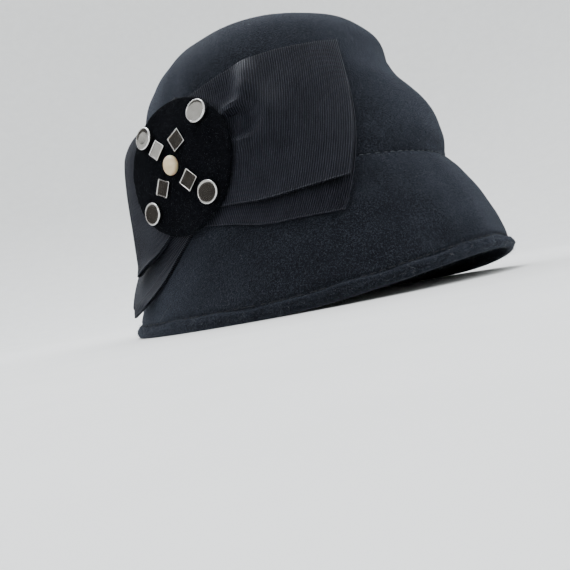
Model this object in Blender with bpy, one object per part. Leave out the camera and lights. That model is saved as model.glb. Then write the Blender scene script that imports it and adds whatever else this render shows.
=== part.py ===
"""Felt cloche hat with a ribbon bow, a round felt patch, metal studs and a pearl.

Metres, +Z up. The hat rests on its brim on the floor, z = 0, and the origin is in the middle
of the brim on that floor. The front of the hat is toward -Y and the wearer's right, which
carries the bow, is toward -X. A turn is an angle round the hat: 0 at the front, growing
toward the wearer's right.
"""
import bpy
import numpy as np
from collections import namedtuple
from math import cos, hypot, pi, radians, sin, sqrt
from mathutils import Matrix, Vector

FELT = 0.0022                      # wall of the crown and the brim
SEAM_GAP = 0.0003                  # between pieces that touch

# the oval where crown and brim are sewn together
SEAM_FRONT = 0.1025
SEAM_BACK = 0.1025
SEAM_SIDE = 0.0890
SEAM_SHIFT = 0.0010                # of the oval's middle to the front
SEAM_HEIGHT = 0.0755
SEAM_TILT = 0.0020                 # the seam is lower at the front by this and higher behind

CROWN_HEIGHT = 0.1085              # from the seam to the top
DENT_DEPTH = 0.0068                # soft crease pressed into the front of the crown
DENT_TURN = radians(-26)
DENT_SPREAD = radians(62)

# the edge of the brim, with its wave up at the front and the back
BRIM_FRONT = 0.1320
BRIM_BACK = 0.1320
BRIM_SIDE = 0.1130
FRONT_LIFT = 0.0125
BACK_LIFT = 0.0080
FRONT_LIFT_TURN = radians(70)
BACK_LIFT_TURN = radians(60)
COLLAR_HEIGHT = 0.0065             # part of the brim that stands up inside the crown
HEM_HEIGHT = 0.0090                # edge of the brim folded up inside
HEM_EDGE = 0.0009                  # rounding of the folded edge
HEM_TAPER = 0.0012                 # slope where the folded felt ends

# the bow
RIBBON_WIDTH = 0.0770
RIBBON = 0.0010                    # thickness of the ribbon
RIBBON_GAP = 0.0003                # between ribbons that lie on each other
FOLD_GAP = 0.0008                  # between the two layers where a loop turns back
BOW_TURN = radians(87.5)
BOW_RISE = 0.0150                  # middle of the bow over the seam
BOW_SPLIT = 0.0015                 # from the bow's middle to the start of each loop
LOOP_LENGTH = 0.0830               # from the bow's middle to the fold of a loop
BOW_SPAN = radians(30)             # turn at which lengths along the bow are measured
BRIDGE_DROP = 0.0305               # the taut ribbon meets the brim this far under the seam
PUFF = 0.0100                      # what the lifts of the loops are shares of
TUCK_DEPTH = 0.0052                # gather of the upper front loop beside the patch
TUCK_WIDTH = 0.0150
TUCK_START = 0.10                  # shares of the loop's free length
TUCK_MIDDLE = 0.13
TUCK_END = 0.58

# the round patch and what is on it
PATCH_RADIUS = 0.0380
PATCH = 0.0024
PATCH_DOME = 0.2400                # radius of its dome
PATCH_TURN = radians(6.5)          # turned a little to the front
PATCH_LEAN = radians(-4.6)         # its top leans to the crown
PATCH_BACK = 0.0022                # its middle sits behind the bow's middle and under it
PATCH_DOWN = 0.0010
PATCH_GAP = 0.0003
STUD_RADIUS = 0.0065
STUD_HEIGHT = 0.0030
STUD_INSET = 0.0078                # from the patch's edge to a round stud's middle
STUD_GAP = 0.0003
SQUARE_SIDE = 0.0092
SQUARE_HEIGHT = 0.0018
PEARL_RADIUS = 0.0055              # half the height of the oval pearl
PEARL_OVAL = 0.80                  # its width as a share of its height
PEARL_RISE = 0.0038                # from the widest part of the pearl to its top
PEARL_CUT = radians(36)            # its flat back is this far under the widest part

AROUND = 48                        # faces round the crown and the brim
CROWN_STEPS = 13
BRIM_STEPS = 8
LOOP_STEPS_HELD = 4                # under the patch
LOOP_STEPS_FREE = 9
LOOP_ACROSS = 8
FOLD_STEPS = 4
PATCH_SIDES = 36
STUD_SIDES = 18
PEARL_STEPS = 8

# crown: share of its height, then shares of the seam's front, side and back
CROWN = np.array([
    (0.00, 1.000, 1.000, 1.000),
    (0.10, 0.990, 1.000, 0.995),
    (0.22, 0.950, 1.000, 0.990),
    (0.36, 0.900, 0.998, 0.980),
    (0.50, 0.855, 0.985, 0.958),
    (0.64, 0.812, 0.942, 0.912),
    (0.77, 0.735, 0.855, 0.825),
    (0.88, 0.588, 0.700, 0.667),
    (0.955, 0.405, 0.487, 0.461),
    (0.99, 0.209, 0.245, 0.241),
    (1.00, 0.000, 0.000, 0.000)])

# crease: share of the crown's height, share of the crease's depth (outward is positive)
DENT = np.array([
    (0.00, 0.00), (0.14, 0.50), (0.30, 0.62), (0.42, 0.10), (0.55, -0.85),
    (0.62, -1.00), (0.72, -0.45), (0.85, 0.00), (1.00, 0.00)])

# brim: share of the way down, then shares of the way out at the front, the sides and the back
BRIM = np.array([
    (0.00, 0.00, 0.00, 0.00),
    (0.10, 0.20, 0.06, 0.08),
    (0.25, 0.42, 0.19, 0.22),
    (0.45, 0.64, 0.39, 0.42),
    (0.70, 0.85, 0.68, 0.70),
    (1.00, 1.00, 1.00, 1.00)])

# ribbon gathered under the patch: share of the loop's length, share of the ribbon's width
GATHER = np.array([(0.0, 0.80), (0.3, 0.90), (0.5, 0.99), (0.8, 1.00), (1.0, 1.00)])

# folds of the tuck: place across the ribbon and spread, as shares of TUCK_WIDTH, and rise, as a
# share of TUCK_DEPTH
TUCK = np.array([(1.00, 0.55, 0.75), (0.07, 0.42, -0.40), (-1.00, 0.75, 0.50)])

# lifts of each loop over what it lies on, as shares of PUFF, from the patch's rim to the fold:
# share of the way, under the loop at its top and its bottom edge, inside it at top and bottom
LIFTS = {
    "upper_front_loop": np.array([
        (0.00, 0.00, 0.00, 0.00, 0.00),
        (0.14, 0.02, 0.02, 0.16, 0.10),
        (0.40, 0.02, 0.10, 0.12, 0.10),
        (0.75, 0.02, 0.18, 0.06, 0.08),
        (1.00, 0.02, 0.28, 0.00, 0.00)]),
    "lower_front_loop": np.array([
        (0.00, 0.00, 0.00, 0.00, 0.00),
        (0.50, 0.00, 0.02, 0.00, 0.03),
        (1.00, 0.00, 0.04, 0.00, 0.00)]),
    "upper_back_loop": np.array([
        (0.00, 0.00, 0.00, 0.00, 0.00),
        (0.45, 0.40, 0.14, 0.30, 0.08),
        (0.80, 0.70, 0.28, 0.28, 0.10),
        (1.00, 0.75, 0.38, 0.10, 0.05)]),
    "lower_back_loop": np.array([
        (0.00, 0.00, 0.00, 0.00, 0.00),
        (0.50, 0.02, 0.02, 0.02, 0.02),
        (0.80, 0.08, 0.16, 0.04, 0.05),
        (1.00, 0.12, 0.62, 0.04, 0.02)]),
}

# side: 1 to the front, -1 to the back; length: at the middle of the loop's end, as a share of
# LOOP_LENGTH; as shares of RIBBON_WIDTH: shift of its middle line up, how much longer its top
# edge is than its bottom edge, and bulge of its end; layers: of ribbon under it
Loop = namedtuple("Loop", "side tilt length shift longer bulge layers")
LOOPS = {
    "lower_front_loop": Loop(1, radians(-2), 1.00, -0.05, 0.10, 0.047, 0),
    "lower_back_loop": Loop(-1, radians(-33), 1.02, 0.03, 0.00, 0.000, 0),
    "upper_front_loop": Loop(1, radians(4), 1.00, 0.05, 0.14, 0.043, 2),
    "upper_back_loop": Loop(-1, radians(-19), 0.83, 0.10, 0.00, 0.000, 2),
}

# studs, sewn on by hand: angle on the patch from its front edge, share of their ring, own turn
ROUND_STUDS = ((48, 1.04, 0), (133, 0.99, 0), (226, 0.99, 0), (317, 0.98, 0))
SQUARE_STUDS = ((67, 0.94, 26), (132, 1.07, 50), (226, 0.95, 63), (313, 1.00, 45))

# outlines of the studs from the back to the face: share of the radius, share of the height
ROUND_OUTLINE = (
    (0.88, 0.00), (1.00, 0.14), (1.00, 0.62), (0.93, 0.90), (0.84, 1.00), (0.76, 0.93), (0.00, 0.93))
SQUARE_OUTLINE = (
    (0.94, 0.00), (1.00, 0.20), (1.00, 0.70), (0.93, 1.00), (0.80, 1.00), (0.72, 0.72), (0.00, 0.72))
PATCH_RINGS = (0.35, 0.70, 0.98)   # shares of the patch's radius

# the band: where a ribbon pulled over the hat would lie, as a table by turn and height
BAND_TURNS = np.radians(np.arange(-20, 201, 4))
BAND_HEIGHTS = np.linspace(0, SEAM_HEIGHT + 0.78 * CROWN_HEIGHT, 41)
BAND_SHARES = np.linspace(1, 0, 12)         # places on the brim that carry it
BAND_LEVELS = np.linspace(0.3, 7.5, 20)     # and on the crown


def smooth(share):
    """0 to 1 with level ends."""
    share = min(max(share, 0.0), 1.0)
    return share * share * (3 - 2 * share)


def spline(table, place):
    """Values of a table at a place that counts its rows, on a smooth curve."""
    last = len(table) - 1
    place = min(max(place, 0.0), float(last))
    row = min(int(place), last - 1)
    part = place - row
    here, ahead = table[row], table[row + 1]
    before = table[row - 1] if row > 0 else 2 * here - ahead
    after = table[row + 2] if row + 2 <= last else 2 * ahead - here
    bend = 2 * before - 5 * here + 4 * ahead - after
    twist = 3 * here - before - 3 * ahead + after
    return 0.5 * (2 * here + (ahead - before) * part + bend * part ** 2 + twist * part ** 3)


def eased(table, share):
    """Values of a table at a share in its first column, eased from row to row."""
    row = int(np.searchsorted(table[:, 0], share, side="right")) - 1
    row = min(max(row, 0), len(table) - 2)
    here, ahead = table[row], table[row + 1]
    return here + (ahead - here) * smooth((share - here[0]) / (ahead[0] - here[0]))


def seam_height(turn):
    return SEAM_HEIGHT - SEAM_TILT * cos(turn)


def dent(turn, rise):
    """How far the crease moves the crown in or out."""
    away = abs((turn - DENT_TURN + pi) % (2 * pi) - pi) / DENT_SPREAD
    return DENT_DEPTH * smooth(1 - away) * float(np.interp(rise, DENT[:, 0], DENT[:, 1]))


def crown_point(turn, level):
    """Outside of the crown; the level counts the rows of CROWN up from the seam."""
    rise, front, side, back = spline(CROWN, level)
    ahead = front * SEAM_FRONT if cos(turn) > 0 else back * SEAM_BACK
    x = -side * SEAM_SIDE * sin(turn)
    y = -ahead * cos(turn)
    out = hypot(x, y)
    if out > 0:
        x *= (out + dent(turn, rise)) / out
        y *= (out + dent(turn, rise)) / out
    z = seam_height(turn) * (1 - rise) + (SEAM_HEIGHT + CROWN_HEIGHT) * rise
    return np.array((x, y - SEAM_SHIFT, z))


def edge_height(turn):
    """Height of the brim's edge over the floor: level at the sides, up at front and back."""
    away = abs((turn + pi) % (2 * pi) - pi)
    front = FRONT_LIFT * smooth(1 - away / FRONT_LIFT_TURN)
    back = BACK_LIFT * smooth(1 - (pi - away) / BACK_LIFT_TURN)
    return front + back


def brim_point(turn, share):
    """Outside of the brim, from the seam, share 0, down to its edge, share 1."""
    drop, front, side, back = spline(BRIM, share * (len(BRIM) - 1))
    ahead = front if cos(turn) > 0 else back
    top = crown_point(turn, 0)
    reach = BRIM_FRONT if cos(turn) > 0 else BRIM_BACK
    edge = (-BRIM_SIDE * sin(turn), -reach * cos(turn), edge_height(turn))
    return np.array((
        top[0] + (edge[0] - top[0]) * side,
        top[1] + (edge[1] - top[1]) * ahead,
        top[2] + (edge[2] - top[2]) * drop))


def share_at(turn, rise):
    """The share of the way down the brim where it is this far over its edge."""
    shares = np.linspace(0, 1, 61)
    drops = [spline(BRIM, share * (len(BRIM) - 1))[0] for share in shares]
    fall = seam_height(turn) - edge_height(turn)
    return float(np.interp(1 - rise / fall, drops, shares))


def inside(surface, turn, place, depth):
    """A point under a surface of the hat, square to it, at a depth."""
    step = 0.01
    across = surface(turn + step, place) - surface(turn - step, place)
    along = surface(turn, place + step) - surface(turn, place - step)
    normal = np.cross(across, along)
    normal /= np.linalg.norm(normal)
    point = surface(turn, place)
    if np.dot(normal, (point[0], point[1], CROWN_HEIGHT / 5)) > 0:
        normal = -normal
    return point + normal * depth


def taut_reaches():
    """Distance from the hat's axis to a band pulled over it, by turn and by height."""
    rows = []
    foot = SEAM_HEIGHT - BRIDGE_DROP
    for turn in BAND_TURNS:
        points = [brim_point(turn, share) for share in BAND_SHARES]
        points += [crown_point(turn, level) for level in BAND_LEVELS]
        band = []
        for point in sorted((p[2], hypot(p[0], p[1])) for p in points):
            while len(band) > 1 and band[-2][0] > foot and sags(band[-2], band[-1], point):
                band.pop()
            band.append(point)
        heights, reaches = np.array(band).T
        rows.append(np.interp(BAND_HEIGHTS, heights, reaches))
    return np.array(rows)


def sags(first, middle, last):
    """Whether the middle point lies inside the straight line between the others."""
    return ((middle[0] - first[0]) * (last[1] - first[1])
            >= (last[0] - first[0]) * (middle[1] - first[1]))


BAND_REACHES = taut_reaches()


def band_reach(turn, height):
    """The distance in that table, at any turn and height within it."""
    across = np.interp(turn, BAND_TURNS, np.arange(len(BAND_TURNS)))
    first = min(int(across), len(BAND_TURNS) - 2)
    part = across - first
    row = BAND_REACHES[first] * (1 - part) + BAND_REACHES[first + 1] * part
    return float(np.interp(height, BAND_HEIGHTS, row))


def on_band(turn, height, lift):
    """A point lifted off the band."""
    way = crown_point(turn, 0)
    out = hypot(way[0], way[1])
    reach = band_reach(turn, height) + lift
    return Vector((way[0] / out * reach, way[1] / out * reach, height))


def on_bow(loop, along, across, lift):
    """A point of the bow: along from its middle, across up, both measured on the ribbon."""
    height = SEAM_HEIGHT + BOW_RISE + along * sin(loop.tilt) + across * cos(loop.tilt)
    arc = along * cos(loop.tilt) - across * sin(loop.tilt)
    reach = band_reach(BOW_TURN - loop.side * BOW_SPAN, height)
    return on_band(BOW_TURN - loop.side * arc / reach, height, lift)


def tuck(free, across):
    """The gather of the upper front loop: a hollow beside the patch between two ridges."""
    folds = sum(rise * np.exp(-((across / TUCK_WIDTH - place) / spread) ** 2)
                for place, spread, rise in TUCK)
    fade = smooth(free / TUCK_START) * smooth((TUCK_END - free) / (TUCK_END - TUCK_MIDDLE))
    return TUCK_DEPTH * fade * folds


def mesh_object(name, verts, faces, paint):
    mesh = bpy.data.meshes.new(name)
    mesh.from_pydata([tuple(v) for v in verts], [], faces)
    mesh.validate()
    mesh.shade_smooth()
    mesh.set_sharp_from_angle(angle=radians(40))
    mesh.materials.append(paint)
    piece = bpy.data.objects.new(name, mesh)
    bpy.context.scene.collection.objects.link(piece)
    return piece


def material(name, color, roughness, metallic=0.0):
    paint = bpy.data.materials.new(name)
    paint.use_nodes = True
    shader = paint.node_tree.nodes["Principled BSDF"]
    shader.inputs["Base Color"].default_value = (*color, 1.0)
    shader.inputs["Roughness"].default_value = roughness
    shader.inputs["Metallic"].default_value = metallic
    return paint


def turned_rings(name, rings, paint, closed_top=None, closed_bottom=None):
    """A closed body of rings, outside first; a pole closes either end, or the ends join."""
    count = len(rings[0])
    verts = [point for ring in rings for point in ring]
    faces = []
    pairs = list(zip(range(len(rings) - 1), range(1, len(rings))))
    if closed_top is None:
        pairs.append((len(rings) - 1, 0))
    for low, high in pairs:
        for i in range(count):
            j = (i + 1) % count
            faces.append((low * count + i, low * count + j, high * count + j, high * count + i))
    if closed_top is not None:
        top, bottom = len(verts), len(verts) + 1
        verts += [closed_bottom, closed_top]
        last = (len(rings) - 1) * count
        for i in range(count):
            j = (i + 1) % count
            faces.append((top, j, i))
            faces.append((bottom, last + i, last + j))
    return mesh_object(name, verts, faces, paint)


def make_crown(paint):
    """The crown: a felt shell, open at the seam."""
    turns = -np.arange(AROUND) * 2 * pi / AROUND
    top = len(CROWN) - 1
    levels = np.linspace(0, top, CROWN_STEPS + 1)[:-1]
    outer = [[crown_point(turn, level) for turn in turns] for level in levels]
    inner = [[inside(crown_point, turn, level, FELT) for turn in turns] for level in levels]
    for point, turn in zip(inner[0], turns):
        point[2] = seam_height(turn)
    apex = crown_point(0.0, top)
    rings = inner[::-1] + outer
    return turned_rings("crown", rings, paint, apex, apex - (0, 0, FELT))


def brim_section(turn):
    """The brim's wall all round its thickness, from the collar down outside and up inside."""
    shares = np.linspace(0, 1, BRIM_STEPS + 1)[1:-1]
    seam = crown_point(turn, 0)
    collar_level = COLLAR_HEIGHT / (CROWN[1][0] * CROWN_HEIGHT)
    collar = inside(crown_point, turn, 0, FELT + SEAM_GAP)
    collar[2] = seam[2]
    collar_top = inside(crown_point, turn, collar_level, FELT + SEAM_GAP)
    way = np.array((collar[0] - seam[0], collar[1] - seam[1], 0.0))
    way /= np.linalg.norm(way)
    up = np.array((0, 0, 1.0))
    edge = brim_point(turn, 1)
    hem = share_at(turn, HEM_HEIGHT)
    taper = share_at(turn, HEM_HEIGHT + HEM_TAPER)
    plain = share_at(turn, HEM_HEIGHT + 3 * HEM_TAPER)
    section = [collar_top, collar - up * SEAM_GAP, seam - up * SEAM_GAP]
    section += [brim_point(turn, share) for share in shares]
    section += [edge + up * HEM_EDGE, edge + way * HEM_EDGE]
    section += [edge + way * (2 * FELT - HEM_EDGE), edge + way * 2 * FELT + up * HEM_EDGE]
    section += [inside(brim_point, turn, hem, 2 * FELT - HEM_EDGE / 2)]
    section += [inside(brim_point, turn, taper, FELT)]
    section += [inside(brim_point, turn, share, FELT) for share in shares[::-1] if share < plain]
    section += [collar + way * FELT, collar_top + way * FELT]
    return section


def make_brim(paint):
    turns = -np.arange(AROUND) * 2 * pi / AROUND
    sections = [brim_section(turn) for turn in turns]
    rings = [list(ring) for ring in zip(*sections)]
    return turned_rings("brim", rings[::-1], paint)


def loop_layers(name, along, up):
    """Lift under a loop and the gap between its two layers, at a place on it."""
    loop = LOOPS[name]
    free = (along - PATCH_RADIUS) / (loop.length * LOOP_LENGTH - PATCH_RADIUS)
    row = eased(LIFTS[name], min(max(free, 0.0), 1.0))
    under = PUFF * (row[2] + (row[1] - row[2]) * smooth(up))
    between = PUFF * (row[4] + (row[3] - row[4]) * smooth(up))
    base = SEAM_GAP + loop.layers * (RIBBON + RIBBON_GAP) + under
    gap = RIBBON_GAP + (FOLD_GAP - RIBBON_GAP) * smooth(free) + between
    if name == "upper_front_loop":
        gap += tuck(free, (up - 0.5) * RIBBON_WIDTH)
    return base, gap


def loop_line(name, up):
    """One line along a loop, out and back: the points outside and inside of the ribbon."""
    loop = LOOPS[name]
    longer = loop.longer * (up - 0.5) + loop.bulge * 4 * up * (1 - up)
    run = loop.length * LOOP_LENGTH + longer * RIBBON_WIDTH
    start = RIBBON_WIDTH * (loop.shift + (up - 0.5) * GATHER[0, 1])
    begin = (BOW_SPLIT + start * sin(loop.tilt)) / cos(loop.tilt)
    held = np.linspace(begin, PATCH_RADIUS, LOOP_STEPS_HELD + 1)[:-1]
    places = np.append(held, np.linspace(PATCH_RADIUS, run, LOOP_STEPS_FREE + 1))
    outer, inner = [], []

    def add(along, lift_out, lift_in, beyond_out=0.0, beyond_in=0.0):
        share = (along - begin) / (run - begin)
        gather = float(np.interp(share, GATHER[:, 0], GATHER[:, 1]))
        across = RIBBON_WIDTH * (loop.shift + (up - 0.5) * gather)
        outer.append(on_bow(loop, along + beyond_out, across, lift_out))
        inner.append(on_bow(loop, along + beyond_in, across, lift_in))

    for along in places:
        base, gap = loop_layers(name, along, up)
        add(along, base, base + RIBBON)
    base, gap = loop_layers(name, run, up)
    middle = base + RIBBON + gap / 2
    wide = gap / 2 + RIBBON
    for angle in np.linspace(-pi / 2, pi / 2, FOLD_STEPS + 1)[1:-1]:
        add(run, middle + wide * sin(angle), middle + gap / 2 * sin(angle),
            wide * cos(angle), gap / 2 * cos(angle))
    for along in places[::-1]:
        base, gap = loop_layers(name, along, up)
        add(along, base + 2 * RIBBON + gap, base + RIBBON + gap)
    return outer, inner


def make_loop(name, paint):
    """One loop of the bow: ribbon out along the hat, folded back over itself."""
    lines = [loop_line(name, up) for up in np.linspace(0, 1, LOOP_ACROSS + 1)]
    outer, inner = zip(*lines)
    return thick_sheet(name, list(outer), list(inner), paint, LOOPS[name].side < 0)


def thick_sheet(name, outer, inner, paint, flip):
    """Closed body between two grids of points of the same size."""
    rows, columns = len(outer), len(outer[0])
    verts = [point for row in outer + inner for point in row]

    def at(layer, row, column):
        return (layer * rows + row) * columns + column

    faces = []
    for i in range(rows - 1):
        for j in range(columns - 1):
            faces.append((at(0, i, j), at(0, i + 1, j), at(0, i + 1, j + 1), at(0, i, j + 1)))
            faces.append((at(1, i, j), at(1, i, j + 1), at(1, i + 1, j + 1), at(1, i + 1, j)))
    for i in range(rows - 1):
        for j, order in ((0, 1), (columns - 1, -1)):
            strip = (at(0, i, j), at(1, i, j), at(1, i + 1, j), at(0, i + 1, j))
            faces.append(strip[::order])
    for j in range(columns - 1):
        for i, order in ((0, 1), (rows - 1, -1)):
            strip = (at(0, i, j), at(0, i, j + 1), at(1, i, j + 1), at(1, i, j))
            faces.append(strip[::order])
    if flip:
        faces = [face[::-1] for face in faces]
    return mesh_object(name, verts, faces, paint)


def dome(ring, angle, height):
    """A point over the patch's back face, at a distance from its middle."""
    sag = ring ** 2 / (2 * PATCH_DOME)
    return Vector((ring * cos(angle), ring * sin(angle), height - sag))


def patch_frame(under):
    """Where the patch sits, pressed on the pieces under it: X to the hat's front, Y up, Z out."""
    face = Matrix(((0, 0, -1), (-1, 0, 0), (0, 1, 0))).to_4x4()
    turned = Matrix.Rotation(PATCH_TURN, 4, "Z") @ face @ Matrix.Rotation(PATCH_LEAN, 4, "X")
    frame = Matrix.Translation(on_band(BOW_TURN, SEAM_HEIGHT + BOW_RISE, 0)) @ turned
    frame @= Matrix.Translation((-PATCH_BACK, -PATCH_DOWN, 0))
    rise = 0.0
    for piece in under:
        for vertex in piece.data.vertices:
            spot = frame.inverted() @ vertex.co
            ring = hypot(spot.x, spot.y)
            if ring < PATCH_RADIUS:
                rise = max(rise, spot.z - dome(ring, 0, 0).z)
    return frame @ Matrix.Translation((0, 0, rise + PATCH_GAP))


def make_patch(paint, frame):
    """The patch: a round piece of thick felt, domed, with a rounded edge."""
    angles = np.arange(PATCH_SIDES) * 2 * pi / PATCH_SIDES
    rounding = PATCH / 4
    back = [(PATCH_RADIUS * share, 0.0) for share in PATCH_RINGS]
    front = [(PATCH_RADIUS * share, PATCH) for share in PATCH_RINGS[::-1]]
    edge = [(PATCH_RADIUS, rounding), (PATCH_RADIUS, PATCH - rounding)]
    rings = [[dome(ring, angle, height) for angle in angles] for ring, height in back + edge + front]
    patch = turned_rings("patch", rings, paint, dome(0, 0, PATCH), dome(0, 0, 0))
    patch.matrix_world = frame
    return patch


def seat(frame, angle, ring, twist):
    """Place on the patch's front face, square to its dome."""
    spot = dome(ring, radians(angle), PATCH + STUD_GAP)
    axis = Vector((-sin(radians(angle)), cos(radians(angle)), 0))
    tilt = Matrix.Rotation(ring / PATCH_DOME, 4, axis)
    return frame @ Matrix.Translation(spot) @ tilt @ Matrix.Rotation(radians(twist), 4, "Z")


def make_stud(name, outline, radius, height, sides, paint):
    """A stud turned from an outline that ends in the middle of its face."""
    angles = np.arange(sides) * 2 * pi / sides + pi / 4
    rings = [[Vector((radius * wide * cos(angle), radius * wide * sin(angle), height * high))
              for angle in angles] for wide, high in outline[:-1]]
    face = Vector((0, 0, height * outline[-1][1]))
    return turned_rings(name, rings, paint, face, Vector((0, 0, 0)))


def make_pearl(paint):
    """A pearl with a flat back where it is sewn down."""
    angles = np.arange(STUD_SIDES) * 2 * pi / STUD_SIDES
    rings = []
    for rise in np.linspace(-PEARL_CUT, pi / 2, PEARL_STEPS + 1)[:-1]:
        wide = PEARL_RADIUS * cos(rise)
        high = PEARL_RISE * (sin(rise) + sin(PEARL_CUT))
        rings.append([Vector((PEARL_OVAL * wide * cos(angle), wide * sin(angle), high))
                      for angle in angles])
    top = Vector((0, 0, PEARL_RISE * (1 + sin(PEARL_CUT))))
    return turned_rings("pearl", rings, paint, top, Vector((0, 0, 0)))


def main():
    for old in list(bpy.data.objects):
        bpy.data.objects.remove(old, do_unlink=True)
    felt = material("felt", (0.012, 0.014, 0.019), 0.95)
    patch_felt = material("patch_felt", (0.007, 0.008, 0.011), 0.97)
    ribbon = material("ribbon", (0.022, 0.023, 0.028), 0.75)
    steel = material("stud_metal", (0.62, 0.61, 0.59), 0.18, 1.0)
    nacre = material("pearl_nacre", (0.82, 0.77, 0.66), 0.25)

    make_crown(felt)
    make_brim(felt)
    loops = [make_loop(name, ribbon) for name in LOOPS]
    frame = patch_frame(loops)
    make_patch(patch_felt, frame)
    round_ring = PATCH_RADIUS - STUD_INSET
    square_ring = (PEARL_RADIUS + round_ring - STUD_RADIUS) / 2
    for number, (angle, share, twist) in enumerate(ROUND_STUDS, 1):
        name = f"round_stud_{number}"
        stud = make_stud(name, ROUND_OUTLINE, STUD_RADIUS, STUD_HEIGHT, STUD_SIDES, steel)
        stud.matrix_world = seat(frame, angle, round_ring * share, twist)
    for number, (angle, share, twist) in enumerate(SQUARE_STUDS, 1):
        name = f"square_stud_{number}"
        stud = make_stud(name, SQUARE_OUTLINE, SQUARE_SIDE / sqrt(2), SQUARE_HEIGHT, 4, steel)
        stud.matrix_world = seat(frame, angle, square_ring * share, twist)
    pearl = make_pearl(nacre)
    pearl.matrix_world = seat(frame, 0, 0, 0)
    bpy.context.view_layer.update()


main()
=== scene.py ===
"""Looks of a felt cloche hat with a ribbon bow, a felt patch, metal studs and a pearl.

Metres, +Z up. The hat rests on its brim on the floor, its front toward -Y and its bow on the
wearer's right toward -X. A turn is an angle round the hat: 0 at the front, growing toward the
wearer's right. The felt and the ribbon follow the same form as the frame, in finer steps.
"""

from collections import namedtuple
from math import cos, pi, radians, sin, sqrt

import bpy
import numpy as np
from mathutils import Matrix, Vector
from mathutils.bvhtree import BVHTree


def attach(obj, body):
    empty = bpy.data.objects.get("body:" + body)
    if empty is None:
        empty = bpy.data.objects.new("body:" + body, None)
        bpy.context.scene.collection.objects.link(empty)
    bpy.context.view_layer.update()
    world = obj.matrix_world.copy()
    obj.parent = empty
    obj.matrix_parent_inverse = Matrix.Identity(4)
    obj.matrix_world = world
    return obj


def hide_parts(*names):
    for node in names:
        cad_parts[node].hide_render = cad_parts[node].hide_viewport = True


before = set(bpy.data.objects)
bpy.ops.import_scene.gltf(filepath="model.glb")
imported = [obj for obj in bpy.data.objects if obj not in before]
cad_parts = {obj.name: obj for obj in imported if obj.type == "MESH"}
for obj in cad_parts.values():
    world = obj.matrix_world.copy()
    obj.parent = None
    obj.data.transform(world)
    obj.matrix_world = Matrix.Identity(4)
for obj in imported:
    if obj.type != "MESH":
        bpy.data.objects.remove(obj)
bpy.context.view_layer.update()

# the form of the felt, as in the frame
FELT = 0.0022
SEAM_GAP = 0.0003
SEAM_FRONT = 0.1025
SEAM_BACK = 0.1025
SEAM_SIDE = 0.0890
SEAM_SHIFT = 0.0010
SEAM_HEIGHT = 0.0755
SEAM_TILT = 0.0020
CROWN_HEIGHT = 0.1085
DENT_DEPTH = 0.0068
DENT_TURN = radians(-26)
DENT_SPREAD = radians(62)
BRIM_FRONT = 0.1320
BRIM_BACK = 0.1320
BRIM_SIDE = 0.1130
FRONT_LIFT = 0.0125
BACK_LIFT = 0.0080
FRONT_LIFT_TURN = radians(70)
BACK_LIFT_TURN = radians(60)
COLLAR_HEIGHT = 0.0065

# the form of the bow, as in the frame
RIBBON_WIDTH = 0.0770
RIBBON = 0.0010
RIBBON_GAP = 0.0003
FOLD_GAP = 0.0008
BOW_TURN = radians(87.5)
BOW_RISE = 0.0150
BOW_SPLIT = 0.0015
LOOP_LENGTH = 0.0830
BOW_SPAN = radians(30)
BRIDGE_DROP = 0.0305
PUFF = 0.0100

# the form of the patch and the studs, as in the frame
PATCH_RADIUS = 0.0380
PATCH = 0.0024
PATCH_DOME = 0.2400
PATCH_TURN = radians(6.5)
PATCH_LEAN = radians(-4.6)
STUD_RADIUS = 0.0065
STUD_HEIGHT = 0.0030
STUD_INSET = 0.0078
STUD_GAP = 0.0003
SQUARE_SIDE = 0.0092
SQUARE_HEIGHT = 0.0018
PEARL_RADIUS = 0.0055
PEARL_OVAL = 0.80
PEARL_RISE = 0.0038
PEARL_CUT = radians(36)

# what only shows close up
FELT_WAVE = 0.0004  # unevenness of the pressed felt
FELT_WAVE_LENGTH = 0.0300
SEAM_ROUNDING = 0.0004  # edges that meet in the seam
STITCH_PITCH = 0.0050  # of the hem and of the seam
HEM_STITCHES = round(0.77 / STITCH_PITCH)
SEAM_STITCHES = round(0.60 / STITCH_PITCH)
CROWN_PUCKERS = round(0.58 / STITCH_PITCH)
PUCKER = 0.0003  # of the felt beside the seam's stitches
PUCKER_SPREAD = 0.0016
HEM_LINE = 0.0078  # the hem's stitches, up from the brim's edge
HEM_SWELL = 0.0016  # the felt stands out over the folded hem
HEM_GROOVE = 0.0009
RIB_PITCH = 0.00107  # ribs across the ribbon
RIB_HEIGHT = 0.00022
RIB_STEPS = 5  # rows of a loop's mesh in a rib
SELVEDGE = 0.0012  # smooth edge of the ribbon
THREAD = 0.00022
FIBRE = 0.000028  # radius of a felt fibre
LINT = 0.000040
COVER_REACH = 0.008  # felt with the bow this near over it grows no fibres
STUD_RIM_HIGHLIGHT = (0.87, 0.72)  # shares of radius and height beyond which a stud's rim is painted brighter, a painted highlight
CROWN_AROUND = 320  # columns of the felt's mesh round the hat
BRIM_AROUND = 420
LOOP_COLUMNS = 32  # columns of a loop's mesh across the ribbon
FOLD_STEPS = 12
LOOP_HELD = 0.0240  # part of a loop that lies flat under the patch
SQUARE_CORNER = 0.00055

# crown: share of its height, then shares of the seam's front, side and back
CROWN = np.array([
    (0.00, 1.000, 1.000, 1.000),
    (0.10, 0.990, 1.000, 0.995),
    (0.22, 0.950, 1.000, 0.990),
    (0.36, 0.900, 0.998, 0.980),
    (0.50, 0.855, 0.985, 0.958),
    (0.64, 0.812, 0.942, 0.912),
    (0.77, 0.735, 0.855, 0.825),
    (0.88, 0.588, 0.700, 0.667),
    (0.955, 0.405, 0.487, 0.461),
    (0.99, 0.209, 0.245, 0.241),
    (1.00, 0.000, 0.000, 0.000)])

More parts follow.
